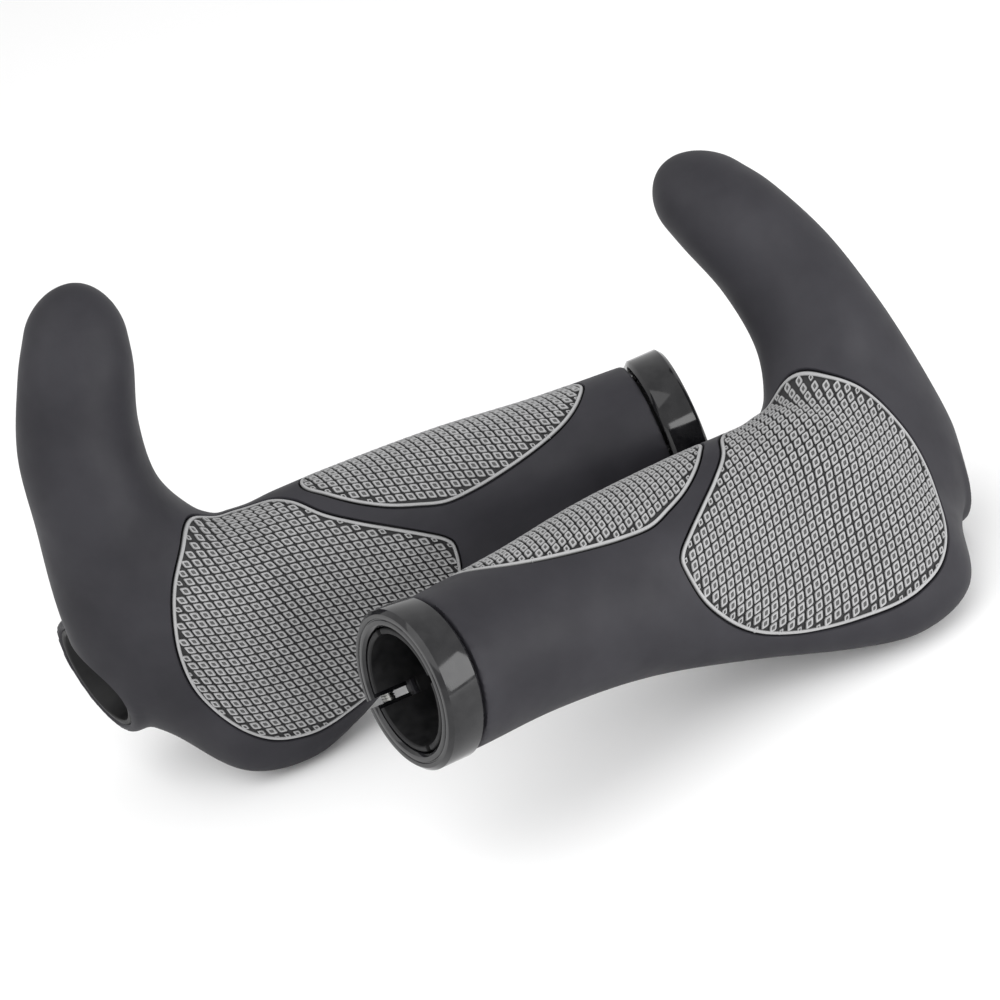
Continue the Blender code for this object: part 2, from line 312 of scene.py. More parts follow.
def unroll(patch):
    lineY, lineZ = patch["line"]
    angles = list(range(patch["from"], patch["to"] + 1, 2))
    xs = list(range(patch["xFrom"], patch["xTo"] + 1))
    rows = []
    for x in xs:
        row = []
        for a in angles:
            out = Vector((0, math.sin(math.radians(a)), math.cos(math.radians(a))))
            middle = Vector((x, lineY, lineZ))
            hit = rubberTree.ray_cast(middle + out * 90, -out)[0]
            row.append((hit - middle).length if hit else None)
        rows.append(carried(row, angles.index(int(patch["zero"]))))
    rows = softened(softened(rows))
    points, lengths = [], []
    zeroAt = angles.index(int(patch["zero"]))
    for x, row in zip(xs, rows):
        line = [Vector((x, lineY + r * math.sin(math.radians(a)), lineZ + r * math.cos(math.radians(a))))
                for r, a in zip(row, angles)]
        run = [0.0]
        for p, q in zip(line, line[1:]):
            run.append(run[-1] + (q - p).length)
        lengths.append([s - run[zeroAt] for s in run])
        points.append(line)
    normals = []
    for i in range(len(xs)):
        row = []
        for j in range(len(angles)):
            du = points[min(i + 1, len(xs) - 1)][j] - points[max(i - 1, 0)][j]
            dv = points[i][min(j + 1, len(angles) - 1)] - points[i][max(j - 1, 0)]
            n = du.cross(dv).normalized()
            outwards = points[i][j] - Vector((xs[i], lineY, lineZ))
            row.append(n if n.dot(outwards) > 0 else -n)
        normals.append(row)
    return dict(patch, angles=angles, xs=xs, points=points, lengths=lengths, normals=normals)


def carried(row, middle):
    # beyond the skin's edge the last distance carries on
    for order in (range(middle, len(row)), range(middle, -1, -1)):
        last = row[middle]
        for j in order:
            last = row[j] = last if row[j] is None else row[j]
    return row


def softened(rows):
    # a light average with the neighbours takes the voxel steps out
    result = []
    for i in range(len(rows)):
        up, down = rows[max(i - 1, 0)], rows[min(i + 1, len(rows) - 1)]
        line = []
        for j in range(len(rows[i])):
            left, right = rows[i][max(j - 1, 0)], rows[i][min(j + 1, len(rows[i]) - 1)]
            line.append((4 * rows[i][j] + up[j] + down[j] + left + right) / 8)
        result.append(line)
    return result


def onPatch(patch, u, v, height=0.0):
    # the point over the skin at flat (u, v), height mm out along the normal
    i = min(max(int(u - patch["xFrom"]), 0), len(patch["xs"]) - 2)
    share = u - patch["xs"][i]
    spots = []
    for column in (i, i + 1):
        run = patch["lengths"][column]
        j = min(max(bisect.bisect(run, v) - 1, 0), len(run) - 2)
        w = (v - run[j]) / (run[j + 1] - run[j])
        spots.append((patch["points"][column][j].lerp(patch["points"][column][j + 1], w),
                      patch["normals"][column][j].lerp(patch["normals"][column][j + 1], w)))
    normal = spots[0][1].lerp(spots[1][1], share).normalized()
    return spots[0][0].lerp(spots[1][0], share) + normal * height


def flatSpot(patch, point):
    # flat (u, v) of a point on the skin
    lineY, lineZ = patch["line"]
    angle = math.degrees(math.atan2(point.y - lineY, point.z - lineZ))
    i = min(max(int(point.x - patch["xFrom"]), 0), len(patch["xs"]) - 2)
    share = point.x - patch["xs"][i]
    at = (angle - patch["from"]) / 2
    j = min(max(int(at), 0), len(patch["angles"]) - 2)
    v = []
    for column in (i, i + 1):
        run = patch["lengths"][column]
        v.append(run[j] + (run[j + 1] - run[j]) * (at - j))
    return (point.x, v[0] + (v[1] - v[0]) * share)


def smoothLoop(corners, step):
    # a closed Catmull-Rom curve, then points at equal steps along it, anticlockwise
    count = len(corners)
    fine = []
    for i in range(count):
        p0, p1, p2, p3 = (corners[(i + d) % count] for d in (-1, 0, 1, 2))
        for k in range(12):
            u = k / 12
            fine.append(tuple(0.5 * (2 * b + (c - a) * u + (2 * a - 5 * b + 4 * c - d) * u ** 2
                              + (3 * b - a - 3 * c + d) * u ** 3) for a, b, c, d in zip(p0, p1, p2, p3)))
    area = sum(a[0] * b[1] - b[0] * a[1] for a, b in zip(fine, fine[1:] + fine[:1]))
    if area < 0:
        fine.reverse()
    run = [0.0]
    for a, b in zip(fine, fine[1:] + fine[:1]):
        run.append(run[-1] + math.dist(a, b))
    total = round(run[-1] / step)
    loop = []
    for n in range(total):
        s = run[-1] * n / total
        i = bisect.bisect(run, s) - 1
        a, b = fine[i], fine[(i + 1) % len(fine)]
        w = (s - run[i]) / (run[i + 1] - run[i])
        loop.append((a[0] + (b[0] - a[0]) * w, a[1] + (b[1] - a[1]) * w))
    return loop


def inward(loop, distance):
    moved = []
    for i, (u, v) in enumerate(loop):
        ahead, behind = loop[(i + 2) % len(loop)], loop[i - 2]
        along = Vector((ahead[0] - behind[0], ahead[1] - behind[1])).normalized()
        moved.append((u - along.y * distance, v + along.x * distance))
    return moved


def fillLoop(loop, spacing):
    # triangles over the inside of a loop, with a spread of inner points
    us, vs = [p[0] for p in loop], [p[1] for p in loop]
    count = len(loop)
    inner = []
    v, odd = min(vs), False
    while v < max(vs):
        u = min(us) + (spacing / 2 if odd else 0)
        while u < max(us):
            if insideLoop(loop, u, v) and min(math.dist((u, v), p) for p in loop) > spacing * 0.6:
                inner.append((u, v))
            u += spacing
        v += spacing * 0.87
        odd = not odd
    flat = [Vector(p) for p in loop + inner]
    edges = [(i, (i + 1) % count) for i in range(count)]
    out = delaunay_2d_cdt(flat, edges, [tuple(range(count))], 1, 1e-5)
    return [tuple(p) for p in out[0]], [tuple(f) for f in out[2]]


def insideLoop(loop, u, v):
    inside = False
    for (a, b), (c, d) in zip(loop, loop[1:] + loop[:1]):
        if (b > v) != (d > v) and u < (c - a) * (v - b) / (d - b) + a:
            inside = not inside
    return inside


def patchSolid(name, patch, loop, profile, innerHeight, floorHeight, spacing=1.7):
    # a closed pad: a rim of (distance in, height) rings, a filled top inside it and a filled floor
    rings = [inward(loop, d) for d, h in profile]
    verts = []
    for (d, h), ring in zip(profile, rings):
        verts.extend((onPatch(patch, u, v, h), h) for u, v in ring)
    count = len(loop)
    faces = ringFaces(len(profile), count)
    last = (len(profile) - 1) * count
    for ring, at, height in ((rings[-1], last, innerHeight), (rings[0], 0, floorHeight)):
        flat, triangles = fillLoop(ring, spacing)
        index = []
        for n, (u, v) in enumerate(flat):
            if n < count:
                index.append(at + n)
                continue
            index.append(len(verts))
            verts.append((onPatch(patch, u, v, height), height))
        faces.extend(tuple(index[i] for i in f) for f in triangles)
    thing = linkObject(name, meshFrom(name, [tuple(p) for p, h in verts], faces))
    # the heights, which the inlay finish turns into painted shade on the low ground and a painted highlight
    # on the rim's top
    level = thing.data.attributes.new("treadHeight", "FLOAT", "POINT")
    level.data.foreach_set("value", [h for p, h in verts])
    return thing


# The inlays: outlines as (x, y) from the palm and (x, z) from the front
inlayShape = {
    "palm": [
        (59, 0), (60.5, -7), (65, -13), (71, -17.5), (78, -20.5), (85, -22.3), (92, -23.2), (99, -23.5),
        (105, -22.5), (111, -20), (116, -15.5), (120, -9.5), (122, -3), (121.7, 5), (119.7, 12.5),
        (116.5, 19.5), (112, 25), (107, 27.5), (100, 24), (92, 23), (87, 21.5), (82, 18), (76, 14),
        (70, 10.2), (64, 6.2), (60, 3),
    ],
    "fingerHalf": [
        (19.5, 1.5), (22, 5.5), (25.5, 8.2), (30, 10), (36, 11.4), (43, 12.4), (50, 13),
        (57, 13.2), (63, 12.6), (69, 11.6), (75, 9.6), (80, 6.4), (83.5, 2.5),
    ],
    "palmMiddle": (95.0, 2.0),
    "palmLow": 3.5,
    "palmSlope": 0.107,
    "floor": -1.25,
    "ground": -0.5,
    "rim": [(0.0, -1.25), (0.0, -0.25), (0.08, -0.08), (0.22, 0.05), (0.6, 0.06), (0.72, -0.06), (0.8, -0.5)],
    "pocket": [(-0.35, -1.6), (-0.35, -0.4), (-0.42, -0.14), (-0.6, 0.06), (-0.75, 0.35), (-0.75, 1.6)],
    "step": 0.75,
}

# The tread: slanted cells with a hollow middle, in rows at two angles to the bar
treadShape = {
    "pitch": 2.15,
    "rowAngle": 15.0,
    "columnAngle": 75.0,
    "rowGroove": 0.22,
    "columnGroove": 0.3,
    "height": 0.54,
    "bevel": 0.16,
    "hollowRim": 0.46,
    "hollowDepth": 0.3,
    "edgeRoom": 0.6,
    "fullRoom": 1.6,
    "leastSize": 0.58,
    "count": 61,
}


def slantCell():
    # one cell about its own middle, its sides along the two groove directions
    shape = treadShape
    sides = []
    for angle in (shape["rowAngle"], shape["columnAngle"]):
        sides.append(Vector((math.cos(math.radians(angle)), math.sin(math.radians(angle)), 0)))
    row, column = sides
    slant = math.sin(math.radians(shape["columnAngle"] - shape["rowAngle"]))
    halfRow = (shape["pitch"] - shape["columnGroove"] / slant) / 2
    halfColumn = (shape["pitch"] - shape["rowGroove"] / slant) / 2
    top = shape["height"]
    levels = [(0.0, -0.2), (0.0, top - 0.22), (shape["bevel"], top), (shape["hollowRim"], top - 0.02),
              (shape["hollowRim"] + 0.14, top - shape["hollowDepth"])]
    rings = []
    for inset, z in levels:
        r, c = halfRow - inset, halfColumn - inset
        k = 0.3 * min(r, c)
        corners = [(r - k, -c), (r, -c + k), (r, c - k), (r - k, c),
                   (-r + k, c), (-r, c - k), (-r, -c + k), (-r + k, -c)]
        rings.append([tuple(row * a + column * b + Vector((0, 0, z))) for a, b in corners])
    cell = loft("treadCell", rings)
    # the cell's heights, which the inlay finish turns into painted shade at the foot and in the hollow and a
    # painted highlight on the top
    level = cell.data.attributes.new("treadHeight", "FLOAT", "POINT")
    level.data.foreach_set("value", [z + inlayShape["ground"] for inset, z in levels for k in range(8)])
    return cell


def flatLoop(name, loop):
    # the outline as loose edges in the flat plane, in metres
    mesh = bpy.data.meshes.new(name)
    count = len(loop)
    mesh.from_pydata([(u * mm, v * mm, 0) for u, v in loop], [(i, (i + 1) % count) for i in range(count)], [])
    return linkObject(name, mesh)


def patchMesh(name, patch):
    columns = len(patch["angles"])
    verts = [tuple(p) for row in patch["points"] for p in row]
    faces = []
    for i in range(len(patch["xs"]) - 1):
        for j in range(columns - 1):
            a, b = i * columns + j, (i + 1) * columns + j
            faces.append((a, b, b + 1, a + 1))
    mesh = bpy.data.meshes.new(name)
    mesh.from_pydata([(x * mm, y * mm, z * mm) for x, y, z in verts], [], faces)
    uvMap = mesh.uv_layers.new(name="flat")
    scale = mm * unrollScale
    flat = [(x * scale, v * scale) for x, run in zip(patch["xs"], patch["lengths"]) for v in run]
    for corner in mesh.loops:
        uvMap.data[corner.index].uv = flat[corner.vertex_index]
    mesh.shade_smooth()
    return linkObject(name, mesh)


def treadTree():
    tree = bpy.data.node_groups.new("tread cells", "GeometryNodeTree")
    tree.is_modifier = True
    face = tree.interface
    face.new_socket(name="Geometry", in_out="INPUT", socket_type="NodeSocketGeometry")
    for name, kind in (("Outline", "Object"), ("Patch", "Object"), ("Cell", "Object"),
                       ("Row Step", "Vector"), ("Column Step", "Vector"), ("Middle", "Vector"),
                       ("Count", "Int"), ("Edge Room", "Float"), ("Full Room", "Float"),
                       ("Least Size", "Float"), ("Ground", "Float"), ("Finish", "Material")):
        face.new_socket(name=name, in_out="INPUT", socket_type="NodeSocket" + kind)
    face.new_socket(name="Geometry", in_out="OUTPUT", socket_type="NodeSocketGeometry")
    nodes, links = tree.nodes, tree.links
    given = nodes.new("NodeGroupInput").outputs
    result = nodes.new("NodeGroupOutput").inputs

    def add(kind, values=None, **settings):
        node = nodes.new(kind)
        for key, value in settings.items():
            setattr(node, key, value)
        for key, value in (values or {}).items():
            if isinstance(value, bpy.types.NodeSocket):
                links.new(value, node.inputs[key])
            else:
                node.inputs[key].default_value = value
        return node

    def math2(operation, a, b, clamp=False):
        return add("ShaderNodeMath", {0: a, 1: b}, operation=operation, use_clamp=clamp).outputs[0]

    def vector2(operation, a, b):
        return add("ShaderNodeVectorMath", {0: a, 1: b}, operation=operation).outputs[0]

    def scaled(vector, factor):
        return add("ShaderNodeVectorMath", {0: vector, "Scale": factor}, operation="SCALE").outputs[0]

    # a square of points, slanted into the rows and columns of the tread, in the flat plane
    span = math2("SUBTRACT", given["Count"], 1.0)
    grid = add("GeometryNodeMeshGrid", {"Size X": span, "Size Y": span, "Vertices X": given["Count"],
                                        "Vertices Y": given["Count"]}).outputs["Mesh"]
    here = add("GeometryNodeInputPosition").outputs[0]
    index = add("ShaderNodeSeparateXYZ", {0: here}).outputs
    slanted = vector2("ADD", scaled(given["Row Step"], index[0]), scaled(given["Column Step"], index[1]))
    slanted = vector2("ADD", slanted, given["Middle"])
    points = add("GeometryNodeSetPosition", {"Geometry": grid, "Position": slanted}).outputs[0]

    # keep those inside the outline, and note how far each is from it
    outline = add("GeometryNodeObjectInfo", {"Object": given["Outline"]}).outputs["Geometry"]
    edge = add("GeometryNodeProximity", {0: outline}, target_element="EDGES").outputs["Distance"]
    loop = add("GeometryNodeMeshToCurve", {0: outline}).outputs[0]
    filled = add("GeometryNodeFillCurve", {0: loop}, mode="TRIANGLES").outputs[0]
    off = add("GeometryNodeProximity", {0: filled}, target_element="FACES").outputs["Distance"]
    outside = add("FunctionNodeCompare", {0: off, 1: 1e-5}, data_type="FLOAT",
                  operation="GREATER_THAN").outputs[0]
    close = add("FunctionNodeCompare", {0: edge, 1: given["Edge Room"]}, data_type="FLOAT",
                operation="LESS_THAN").outputs[0]
    drop = add("FunctionNodeBooleanMath", {0: outside, 1: close}, operation="OR").outputs[0]
    points = add("GeometryNodeDeleteGeometry", {"Geometry": points, "Selection": drop},
                 domain="POINT").outputs[0]
    note = add("GeometryNodeCaptureAttribute", {"Geometry": points})
    note.capture_items.new("FLOAT", "room")
    note.capture_items.new("VECTOR", "flat")
    links.new(edge, note.inputs["room"])
    links.new(add("GeometryNodeInputPosition").outputs[0], note.inputs["flat"])
    room, flat = note.outputs["room"], note.outputs["flat"]

    # lay them over the skin, each turned to the surface
    patch = add("GeometryNodeObjectInfo", {"Object": given["Patch"]}).outputs["Geometry"]
    uvMap = add("GeometryNodeInputNamedAttribute", {"Name": "flat"}, data_type="FLOAT_VECTOR").outputs[0]
    normal = add("GeometryNodeInputNormal").outputs[0]

    def sample(value, at):
        return add("GeometryNodeSampleUVSurface", {0: patch, 1: value, 2: uvMap, 3: at},
                   data_type="FLOAT_VECTOR").outputs[0]

    spotUv = scaled(flat, unrollScale)
    aheadUv = scaled(vector2("ADD", flat, (0.0006, 0.0, 0.0)), unrollScale)
    onSkin = sample(add("GeometryNodeInputPosition").outputs[0], spotUv)
    ahead = sample(add("GeometryNodeInputPosition").outputs[0], aheadUv)
    up = sample(normal, spotUv)
    turn = add("FunctionNodeAxesToRotation", {0: up, 1: vector2("SUBTRACT", ahead, onSkin)},
               primary_axis="Z", secondary_axis="X").outputs[0]
    place = vector2("ADD", onSkin, scaled(up, given["Ground"]))
    kept = note.outputs["Geometry"]
    points = add("GeometryNodeSetPosition", {"Geometry": kept, "Position": place}).outputs[0]
    size = math2("MINIMUM", math2("DIVIDE", room, given["Full Room"]), 1.0)
    size = math2("MAXIMUM", size, given["Least Size"])
    shape = add("ShaderNodeCombineXYZ", {0: size, 1: size, 2: 1.0}).outputs[0]
    cell = add("GeometryNodeObjectInfo", {"Object": given["Cell"]}).outputs["Geometry"]
    cells = add("GeometryNodeInstanceOnPoints", {"Points": points, "Instance": cell, "Rotation": turn,
                                                 "Scale": shape}).outputs[0]
    joined = add("GeometryNodeJoinGeometry")
    links.new(cells, joined.inputs[0])
    links.new(given["Geometry"], joined.inputs[0])
    solid = add("GeometryNodeRealizeInstances", {0: joined.outputs[0]}).outputs[0]
    dressed = add("GeometryNodeSetMaterial", {"Geometry": solid, "Material": given["Finish"]})
    links.new(dressed.outputs[0], result[0])
    return tree


def setInputs(modifier, values):
    names = {s.name: s.identifier for s in modifier.node_group.interface.items_tree if s.in_out == "INPUT"}
    for name, value in values.items():
        modifier[names[name]] = value


# Finishes
def newFinish(name):
    mat = bpy.data.materials.new(name)
    mat.use_nodes = True
    nodes, links = mat.node_tree.nodes, mat.node_tree.links
    shader = nodes["Principled BSDF"]
    where = nodes.new("ShaderNodeTexCoord").outputs["Object"]
    return mat, nodes, links, shader, where


def noiseNode(nodes, links, where, scale, detail=3.0, roughness=0.55):
    node = nodes.new("ShaderNodeTexNoise")
    node.inputs["Scale"].default_value = scale
    node.inputs["Detail"].default_value = detail
    node.inputs["Roughness"].default_value = roughness
    links.new(where, node.inputs["Vector"])
    return node.outputs["Fac"]


def mapTo(nodes, links, value, low, high, outLow, outHigh):
    node = nodes.new("ShaderNodeMapRange")
    for key, number in (("From Min", low), ("From Max", high), ("To Min", outLow), ("To Max", outHigh)):
        node.inputs[key].default_value = number
    links.new(value, node.inputs["Value"])
    return node.outputs["Result"]


def rampNode(nodes, links, value, stops):
    node = nodes.new("ShaderNodeValToRGB")
    band = node.color_ramp
    while len(band.elements) < len(stops):
        band.elements.new(0.5)
    for element, (at, color) in zip(band.elements, stops):
        element.position = at
        element.color = (*color, 1.0)
    links.new(value, node.inputs["Fac"])
    return node.outputs["Color"]


def bumpNode(nodes, links, height, distance, strength, below=None):
    node = nodes.new("ShaderNodeBump")
    node.inputs["Distance"].default_value = distance
    node.inputs["Strength"].default_value = strength
    links.new(height, node.inputs["Height"])
    if below is not None:
        links.new(below, node.inputs["Normal"])
    return node.outputs["Normal"]


rubberLook = {
    "dark": (0.018, 0.0173, 0.0212),
    "light": (0.026, 0.0252, 0.030),
    "grain": 2600.0,
    "cloud": 55.0,
}
# painted shade and painted highlight: groove is the near-black painted shade of the ground and cell feet,
# side the darker hollows and lower sides, top a painted highlight lighter than the rubber's own grey
inlayLook = {
    "groove": (0.022, 0.022, 0.023),
    "side": (0.1, 0.1, 0.1),
    "top": (0.335, 0.335, 0.338),
    "grain": 3200.0,
}
ringLook = {"dark": (0.006, 0.006, 0.007), "light": (0.012, 0.012, 0.013), "roughness": 0.09}
nylonLook = {"dark": (0.006, 0.006, 0.0065), "light": (0.012, 0.012, 0.0125), "grain": 1500.0}
steelLook = {"dark": (0.46, 0.46, 0.45), "light": (0.68, 0.68, 0.66)}


def rubberFinish():
    mat, nodes, links, shader, where = newFinish("matt dark rubber")
    cloud = noiseNode(nodes, links, where, rubberLook["cloud"], 5.0)
    links.new(rampNode(nodes, links, cloud, [(0.35, rubberLook["dark"]), (0.65, rubberLook["light"])]),
              shader.inputs["Base Color"])
    smear = noiseNode(nodes, links, where, 130.0, 4.0)
    links.new(mapTo(nodes, links, smear, 0.3, 0.7, 0.5, 0.62), shader.inputs["Roughness"])
    grain = noiseNode(nodes, links, where, rubberLook["grain"], 2.0)
    ripple = noiseNode(nodes, links, where, 240.0, 2.0)
    soft = bumpNode(nodes, links, ripple, 0.00012, 0.12)
    links.new(bumpNode(nodes, links, grain, 0.00003, 0.22, soft), shader.inputs["Normal"])
    shader.inputs["Specular IOR Level"].default_value = 0.22
    return mat


def inlayFinish():
    mat, nodes, links, shader, where = newFinish("grey textured rubber")
    level = nodes.new("ShaderNodeAttribute")
    level.attribute_name = "treadHeight"
    # painted shade and painted highlight: the colour follows the tread's height, near black in the grooves,
    # hollows and ground between the cells, light on the raised tops; the wear mix below is real random wear
    height = mapTo(nodes, links, level.outputs["Fac"], -0.5, 0.06, 0.0, 1.0)
    paintedLightByHeight = rampNode(nodes, links, height, [(0.0, inlayLook["groove"]), (0.45, inlayLook["side"]),
                                           (0.95, inlayLook["top"])])
    worn = noiseNode(nodes, links, where, 160.0, 5.0)
    shade = nodes.new("ShaderNodeMix")
    shade.data_type = "RGBA"
    shade.blend_type = "MULTIPLY"
    shade.inputs[0].default_value = 1.0
    links.new(paintedLightByHeight, shade.inputs[6])
    wear = rampNode(nodes, links, worn, [(0.3, (0.86, 0.86, 0.86)), (0.7, (1.0, 1.0, 1.0))])
    links.new(wear, shade.inputs[7])
    links.new(shade.outputs[2], shader.inputs["Base Color"])
    links.new(mapTo(nodes, links, worn, 0.3, 0.7, 0.62, 0.8), shader.inputs["Roughness"])
    grain = noiseNode(nodes, links, where, inlayLook["grain"], 2.0)
    links.new(bumpNode(nodes, links, grain, 0.00003, 0.3), shader.inputs["Normal"])
    shader.inputs["Specular IOR Level"].default_value = 0.35
    return mat


def ringFinish():
    mat, nodes, links, shader, where = newFinish("gloss black anodised")
    cloud = noiseNode(nodes, links, where, 300.0, 4.0)
    links.new(rampNode(nodes, links, cloud, [(0.4, ringLook["dark"]), (0.6, ringLook["light"])]),
              shader.inputs["Base Color"])
    rough = ringLook["roughness"]
    links.new(mapTo(nodes, links, cloud, 0.3, 0.7, rough * 0.7, rough * 1.4), shader.inputs["Roughness"])
    turned = noiseNode(nodes, links, where, 5000.0, 1.0)
    links.new(bumpNode(nodes, links, turned, 0.000004, 0.12), shader.inputs["Normal"])
    shader.inputs["Specular IOR Level"].default_value = 0.42
    return mat


def nylonFinish():
    mat, nodes, links, shader, where = newFinish("glass filled nylon")
    cloud = noiseNode(nodes, links, where, 420.0, 4.0)
    links.new(rampNode(nodes, links, cloud, [(0.35, nylonLook["dark"]), (0.7, nylonLook["light"])]),
              shader.inputs["Base Color"])
    links.new(mapTo(nodes, links, cloud, 0.3, 0.7, 0.42, 0.6), shader.inputs["Roughness"])
    grain = noiseNode(nodes, links, where, nylonLook["grain"], 3.0)
    links.new(bumpNode(nodes, links, grain, 0.00004, 0.25), shader.inputs["Normal"])
    shader.inputs["Specular IOR Level"].default_value = 0.2
    return mat


def steelFinish():
    mat, nodes, links, shader, where = newFinish("zinc plated steel")
    cloud = noiseNode(nodes, links, where, 700.0, 5.0)
    links.new(rampNode(nodes, links, cloud, [(0.3, steelLook["dark"]), (0.7, steelLook["light"])]),
              shader.inputs["Base Color"])
    links.new(mapTo(nodes, links, cloud, 0.3, 0.7, 0.24, 0.42), shader.inputs["Roughness"])
    pits = noiseNode(nodes, links, where, 3500.0, 2.0)
    links.new(bumpNode(nodes, links, pits, 0.00001, 0.2), shader.inputs["Normal"])
    shader.inputs["Metallic"].default_value = 1.0
    return mat


finishes = {"rubber": rubberFinish(), "inlay": inlayFinish(), "ring": ringFinish(), "nylon": nylonFinish(),
            "steel": steelFinish()}
print("finishes made")


# Inlays and their pockets
def palmEdge(x, y):
    # straight down onto the skin, or on its side where the outline hangs over it
    low = inlayShape["palmLow"] - inlayShape["palmSlope"] * y
    hit = rubberTree.ray_cast(Vector((x, y, 60)), Vector((0, 0, -1)))[0]
    if hit is None or hit.z < low:
        middle = Vector((*inlayShape["palmMiddle"], low))
        start = Vector((x, y, low))
        away = (start - middle).normalized()
        hit = rubberTree.ray_cast(start + away * 1.5, -away)[0]
    return hit


def outlineLoops():
    palm, finger = unroll(palmPatch), unroll(fingerPatch)
    palmSpots = []
    for x, y in inlayShape["palm"]:
        palmSpots.append(flatSpot(palm, palmEdge(x, y)))
    half = inlayShape["fingerHalf"]
    fingerSpots = []
    for x, z in [(x, -z) for x, z in half] + [(x, z) for x, z in reversed(half)]:
        fingerSpots.append(flatSpot(finger, rubberTree.ray_cast(Vector((x, 60, z)), Vector((0, -1, 0)))[0]))
    step = inlayShape["step"]
    return {"palm": (palm, smoothLoop(palmSpots, step)), "finger": (finger, smoothLoop(fingerSpots, step))}


def layTread(pad, kind, patch, loop, cell, tree):
    outline = flatLoop(kind + "Outline", loop)
    under = patchMesh(kind + "Patch", patch)
    pitch = treadShape["pitch"] * mm
    steps = []
    for angle in (treadShape["rowAngle"], treadShape["columnAngle"]):
        steps.append((pitch * math.cos(math.radians(angle)), pitch * math.sin(math.radians(angle)), 0.0))
    middle = [sum(p[i] for p in loop) / len(loop) * mm for i in (0, 1)]
    cells = pad.modifiers.new("Tread", "NODES")
    cells.node_group = tree
    setInputs(cells, {"Outline": outline, "Patch": under, "Cell": cell,
                      "Row Step": steps[0], "Column Step": steps[1], "Middle": (*middle, 0.0),
                      "Count": treadShape["count"],
                      "Edge Room": treadShape["edgeRoom"] * mm, "Full Room": treadShape["fullRoom"] * mm,
                      "Least Size": treadShape["leastSize"], "Ground": inlayShape["ground"] * mm,
                      "Finish": finishes["inlay"]})
    bake(pad)
    dropObject(outline)
    dropObject(under)
    return pad


parts = {}
loops = outlineLoops()
cell = slantCell()
tree = treadTree()
for kind, (patch, loop) in loops.items():
    pad = patchSolid(kind + "Pad", patch, loop, inlayShape["rim"], inlayShape["ground"], inlayShape["floor"])
    parts[kind + "_inlay"] = layTread(pad, kind, patch, loop, cell, tree)
    print(kind, "inlay laid", len(pad.data.polygons))
dropObject(cell)

for kind, (patch, loop) in loops.items():
    pocket = inlayShape["pocket"]
    cut(rubber, patchSolid("pocket", patch, loop, pocket, pocket[-1][1], pocket[0][1]))
r, f, e = rubberShape["boreRadius"], rubberShape["boreFlare"], rubberShape["tubeTo"]
boreRings = []
for x, radius in ((-5, r + f), (8.4, r + f), (8.4 + f, r),
                  (e - 0.05 - f, r), (e - 0.05, r + f), (e + 5, r + f)):
    boreRings.append([(x, y, z) for z, y in circle(radius, rubberShape["boreSides"])])
cut(rubber, loft("bore", slantEnd(boreRings, 3)))
cut(rubber, skin("coreRoom", rubberShape["coreAround"], rubberShape["coreAlong"], rubberShape["coreInset"],
                 rubberShape["coreFirst"], rubberShape["coreTip"]))
parts["rubber_body"] = rubber
print("rubber cut", len(rubber.data.polygons))


# Clamp: split ring, slotted sleeve end, lock washer and pinch bolt
clampShape = {
    "ringRadius": 16.0,
    "ringBore": 12.6,
    "ringWidth": 8.0,
    "chamfer": 0.8,
    "lip": 0.5,
    "faceGroove": 14.2,
    "slitWidth": 1.5,
    "boltX": 4.0,
    "boltZ": -14.1,
    "holeRadius": 1.5,
    "holeEnd": -4.0,
    "seatY": 5.4,
    "seatRadius": 3.2,
    "washerRadius": 2.9,
    "washerHole": 1.7,
    "washerThick": 0.7,
    "fit": 0.25,
    "threadCrest": 1.44,
    "threadRoot": 1.16,
    "threadPitch": 0.5,
    "boltTip": -3.6,
    "headRadius": 2.75,
    "headHeight": 3.0,
    "keyAcross": 2.5,
    "keyDepth": 1.6,
}


def makeRing():
    c = clampShape
    w, r, b = c["ringWidth"], c["ringRadius"], c["ringBore"]
    lip, ch, g = c["lip"], c["chamfer"], c["faceGroove"]
    profile = [(0, b + lip), (0, g - 0.2), (0.18, g - 0.1), (0.18, g + 0.1), (0, g + 0.2), (0, r - ch),
               (ch, r), (w - ch, r), (w, r - ch), (w, b), (lip, b)]
    ring = revolve("ring", profile)
    cut(ring, block("slit", (-1, -c["slitWidth"] / 2, -20), (w + 1, c["slitWidth"] / 2, -8)))
    at = (c["boltX"], c["boltZ"])
    cut(ring, rod("hole", c["holeRadius"], (at[0], c["holeEnd"], at[1]), (at[0], 20, at[1])))
    cut(ring, rod("seat", c["seatRadius"], (at[0], c["seatY"], at[1]), (at[0], 20, at[1])))
    return bevelEdges(ring, 0.1)


def makeSleeve():
    g = gripFit
    b, r = g["barRadius"], g["sleeveRadius"]
    x, e = g["sleeveFrom"], g["sleeveTo"]
    sleeve = revolve("sleeve", [(x, b + 0.25), (x, r - 0.25), (x + 0.25, r), (e - 0.25, r), (e, r - 0.25),
                                (e, b + 0.25), (e - 0.25, b), (x + 0.25, b)])
    for vert in sleeve.data.vertices:
        if vert.co.x > e / 2 * mm:
            vert.co.x -= g["endSlant"] * vert.co.z
    for turn in (0, 90, 180, 270):
        width = g["slitWidth"] if turn == 180 else g["slotWidth"]
        slot = block("slot", (-1, -width / 2, 8), (x + g["slotLength"], width / 2, 15))
        slot.data.transform(Matrix.Rotation(math.radians(turn), 4, "X"))
        cut(sleeve, slot)
    return bevelEdges(sleeve, 0.08)


def lathe(profile, count):
    # round about the bolt's line, from (y, radius) pairs
    x, z = clampShape["boltX"], clampShape["boltZ"]
    rings = []
    for y, radius in profile:
        rings.append([(x + a, y, z + b) for a, b in circle(radius, count)])
    return rings


